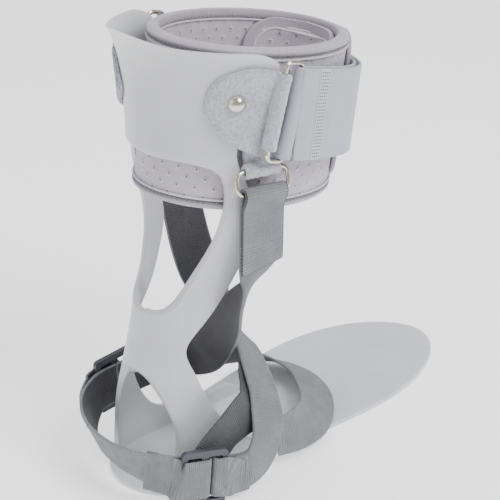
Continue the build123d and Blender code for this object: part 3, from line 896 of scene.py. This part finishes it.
def slider(name):
    """Bevelled copy of a tri-glide with grip ridges on its bars."""
    node = name + "_slider"
    made = bpy.data.objects.new(name + "_tri_glide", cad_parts[node].data.copy())
    bpy.context.scene.collection.objects.link(made)
    made.data.materials.clear()
    made.data.materials.append(SLIDER)
    bevel = made.modifiers.new("edge", "BEVEL")
    bevel.width = 0.55 * MM
    bevel.segments = 3
    bevel.angle_limit = math.radians(40)
    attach(made, name + "_adjuster")
    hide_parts(node)
    origin, along, normal = SLIDER_SEATS[name]
    along = along.normalized()
    normal = (normal - along * normal.dot(along)).normalized()
    tall = normal.cross(along)
    for k, shift in enumerate((-0.9, 0.9)):
        ends = [origin + along * shift + normal * 4.85 + tall * t for t in (-12.5, 0, 12.5)]
        ridge = piping(f"{name}_grip_{k}", smooth_line(ends, 4), 0.4, SLIDER, name + "_adjuster")
    return origin, along, normal, tall


SLIDER_CLEAR = 15.5   # from a slider's middle to where a fold settles on its band
FOLD_LOW = 1.75       # middle of a fold above the middle of the band under it
FOLD_TOP = 5.6        # middle of a fold above a slider's seat
FOLD_RADIUS = 2.4
FOLD_THICK = 1.5


def slider_fold(name, seat, line, curl_at, reach, body):
    """Webbing doubled back over a band, across a slider and down into one of its slots.

    The fold runs along the band from reach to the slider, then turns down at curl_at,
    both measured along the slider from its middle.
    """
    origin, along, normal, tall = seat
    side = 1 if (line[20] - origin).dot(along) > 0 else -1
    points, outs = [], []
    courses = tangents(line)
    for point, course in reversed(list(zip(line, courses))):
        away = (point - origin).dot(along) * side
        apart = (point - origin).length
        if not SLIDER_CLEAR < apart < reach or away < 0:
            continue
        out = normal - course * normal.dot(course)
        share = min(max((reach - apart) / (reach - SLIDER_CLEAR), 0), 1)
        points.append(point + out.normalized() * (FOLD_LOW + (FOLD_TOP - FOLD_LOW) * share ** 3 * 0.75))
        outs.append(out.normalized())
    centre = origin + along * curl_at + normal * (FOLD_TOP - FOLD_RADIUS)
    level = (14.2, 11, 7, 4) if side > 0 else (14.2, 11, 8, 5, 2)
    for place in level:
        if place * side * side > curl_at * side + 0.5:
            points.append(origin + along * (side * place) + normal * FOLD_TOP)
            outs.append(normal)
    for k in range(11):
        turn = math.radians(13 * k)
        lean = normal * math.cos(turn) - along * (side * math.sin(turn))
        points.append(centre + lean * FOLD_RADIUS)
        outs.append(lean)
    smooth = smooth_line(points, 3)
    faces = smooth_line(outs, 3)
    wide = [c.cross(o) for c, o in zip(tangents(smooth), faces)]
    piece, length = webbing(name, smooth, wide, body, width=WEB - 0.8, thick=FOLD_THICK)
    seam = [points[1] + outs[1] * (FOLD_THICK / 2 + 0.05) + tall * t for t in (-10.5, -5, 0, 5, 10.5)]
    row = stitches(name + "_seam", smooth_line(seam, 4), [outs[1]] * 17, GREY_THREAD, body,
                   pitch=2.0, length=1.5, radius=0.28)
    return piece


lateral_seat = slider("lateral")
medial_seat = slider("medial")
slider_fold("lateral_heel_fold", lateral_seat, heel[::-1], 1.3, 33, "lateral_adjuster")
slider_fold("lateral_instep_fold", lateral_seat, run, 8.4, 30, "lateral_adjuster")
slider_fold("medial_heel_fold", medial_seat, heel, 1.3, 33, "medial_adjuster")

# ---- carried-over CAD pieces --------------------------------------------
CARRIED = {
    "orthosis_shell": MOULDING,
    "lateral_calf_ring": NICKEL, "medial_calf_ring": NICKEL,
    "lateral_ankle_ring": NICKEL, "medial_ankle_ring": NICKEL,
    "lateral_rivet": NICKEL, "medial_rivet": NICKEL,
}
for node, material in CARRIED.items():
    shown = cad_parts[node]
    for place in shown.material_slots:
        place.material = material

# ---- stage, light and camera --------------------------------------------
def stage_floor():
    mesh = bpy.data.meshes.new("floor")
    half = 6.0
    low = -0.0004
    mesh.from_pydata([(-half, -half, low), (half, -half, low), (half, half, low), (-half, half, low)],
                     [], [(0, 1, 2, 3)])
    floor = bpy.data.objects.new("floor", mesh)
    bpy.context.scene.collection.objects.link(floor)
    look = Look("pale_floor", tone(250, 250, 250), 0.9, Emission_Color=(1, 1, 1, 1), Emission_Strength=0.8)
    mesh.materials.append(look.material)


stage_floor()

CAMERA_AT = Vector((-0.54952, -0.63569, 0.54772))
CAMERA_RIGHT = Vector((0.7357, -0.6772, 0.01325)).normalized()
CAMERA_BACK = Vector((-0.61266, -0.65701, 0.43929)).normalized()
CAMERA_UP = CAMERA_BACK.cross(CAMERA_RIGHT).normalized()
TARGET = Vector((0.043, 0, 0.13))

camera_data = bpy.data.cameras.new("camera")
camera_data.lens = 116.2
camera_data.sensor_width = 36
camera_data.clip_end = 50
camera = bpy.data.objects.new("camera", camera_data)
camera.matrix_world = Matrix.Translation(CAMERA_AT) @ Matrix(
    (CAMERA_RIGHT, CAMERA_UP, CAMERA_BACK)).transposed().to_4x4()
bpy.context.scene.collection.objects.link(camera)
bpy.context.scene.camera = camera


def area_light(name, offset, size, power):
    """Soft square light aimed at the object."""
    data = bpy.data.lights.new(name, "AREA")
    data.size = size
    data.energy = power
    light = bpy.data.objects.new(name, data)
    light.location = TARGET + offset
    light.rotation_euler = offset.to_track_quat("Z", "Y").to_euler()
    bpy.context.scene.collection.objects.link(light)


area_light("key", CAMERA_RIGHT * 0.9 + CAMERA_BACK * 0.7 + Vector((0, 0, 1.0)), 0.8, 26)
area_light("fill", CAMERA_RIGHT * -1.2 + CAMERA_BACK * 0.6 + Vector((0, 0, 0.5)), 1.2, 4)
area_light("top", Vector((0.2, 0.4, 1.5)), 1.2, 12)

world = bpy.data.worlds.new("studio")
world.use_nodes = True
world.node_tree.nodes["Background"].inputs["Color"].default_value = (1, 1, 1, 1)
world.node_tree.nodes["Background"].inputs["Strength"].default_value = 0.62
bpy.context.scene.world = world
